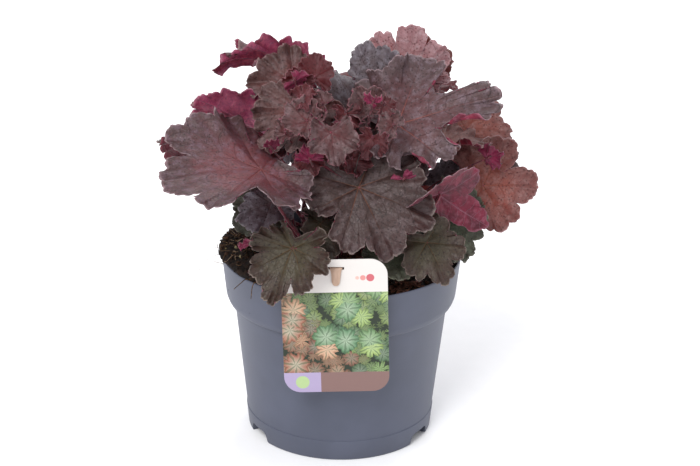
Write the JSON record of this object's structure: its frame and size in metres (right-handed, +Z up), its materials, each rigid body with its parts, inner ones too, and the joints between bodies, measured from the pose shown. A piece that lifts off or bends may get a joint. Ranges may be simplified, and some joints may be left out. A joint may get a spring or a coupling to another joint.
{
  "type": "potted heuchera plant",
  "caption": "Dark-leaved heuchera in a round nursery pot with a stepped rim, with scalloped leaves on slim stalks and a plant card at the front.",
  "frame": {"origin": "on the ground, at the centre of the pot's base", "axes": "+Z up along the pot's axis; the plant card is at the front, towards -Y"},
  "size_m": [0.2991, 0.2851, 0.3275],
  "materials": {
    "pot_plastic": "moulded slate-blue polypropylene, satin",
    "compost": "dark fibrous peat compost",
    "crown_wood": "rough brown leaf-scarred stock",
    "card_print": "satin printed polypropylene card",
    "clip_plastic": "tan moulded strip",
    "leaf_blade": "purple-brown leaf with a magenta underside, satin"
  },
  "bodies": {
    "root": {"card_clip": "clip_plastic", "compost": "compost", "crown": "crown_wood", "leaf_big_left": "leaf_blade", "leaf_big_right": "leaf_blade", "leaf_front_centre": "leaf_blade", "leaf_green_low": "leaf_blade", "leaf_grey_low": "leaf_blade", "leaf_grey_small": "leaf_blade", "leaf_inner_dark": "leaf_blade", "leaf_inner_red": "leaf_blade", "leaf_left_far": "leaf_blade", "leaf_low_right_brown": "leaf_blade", "leaf_low_right_green": "leaf_blade", "leaf_magenta_right": "leaf_blade", "leaf_mid_left": "leaf_blade", "leaf_mid_right": "leaf_blade", "leaf_right_orange": "leaf_blade", "leaf_right_shade": "leaf_blade", "leaf_rim_left": "leaf_blade", "leaf_rolled_grey": "leaf_blade", "leaf_rolled_right": "leaf_blade", "leaf_salmon_right": "leaf_blade", "leaf_small_dark": "leaf_blade", "leaf_soil_right": "leaf_blade", "leaf_tier_1_1": "leaf_blade", "leaf_tier_1_2": "leaf_blade", "leaf_tier_1_3": "leaf_blade", "leaf_tier_1_4": "leaf_blade", "leaf_tier_1_5": "leaf_blade", "leaf_tier_2_1": "leaf_blade", "leaf_tier_2_2": "leaf_blade", "leaf_tier_2_3": "leaf_blade", "leaf_tier_2_4": "leaf_blade", "leaf_tier_2_5": "leaf_blade", "leaf_tier_3_1": "leaf_blade", "leaf_tier_3_2": "leaf_blade", "leaf_tier_3_3": "leaf_blade", "leaf_tier_3_4": "leaf_blade", "leaf_tier_4_1": "leaf_blade", "leaf_tier_4_2": "leaf_blade", "leaf_top_grey": "leaf_blade", "leaf_top_left": "leaf_blade", "leaf_top_red": "leaf_blade", "leaf_top_right": "leaf_blade", "leaf_top_right_rear": "leaf_blade", "leaf_trefoil": "leaf_blade", "leaf_upper_left": "leaf_blade", "leaf_young_left": "leaf_blade", "leaf_young_right": "leaf_blade", "plant_card": "card_print", "pot": "pot_plastic"}
  },
  "joints": []
}
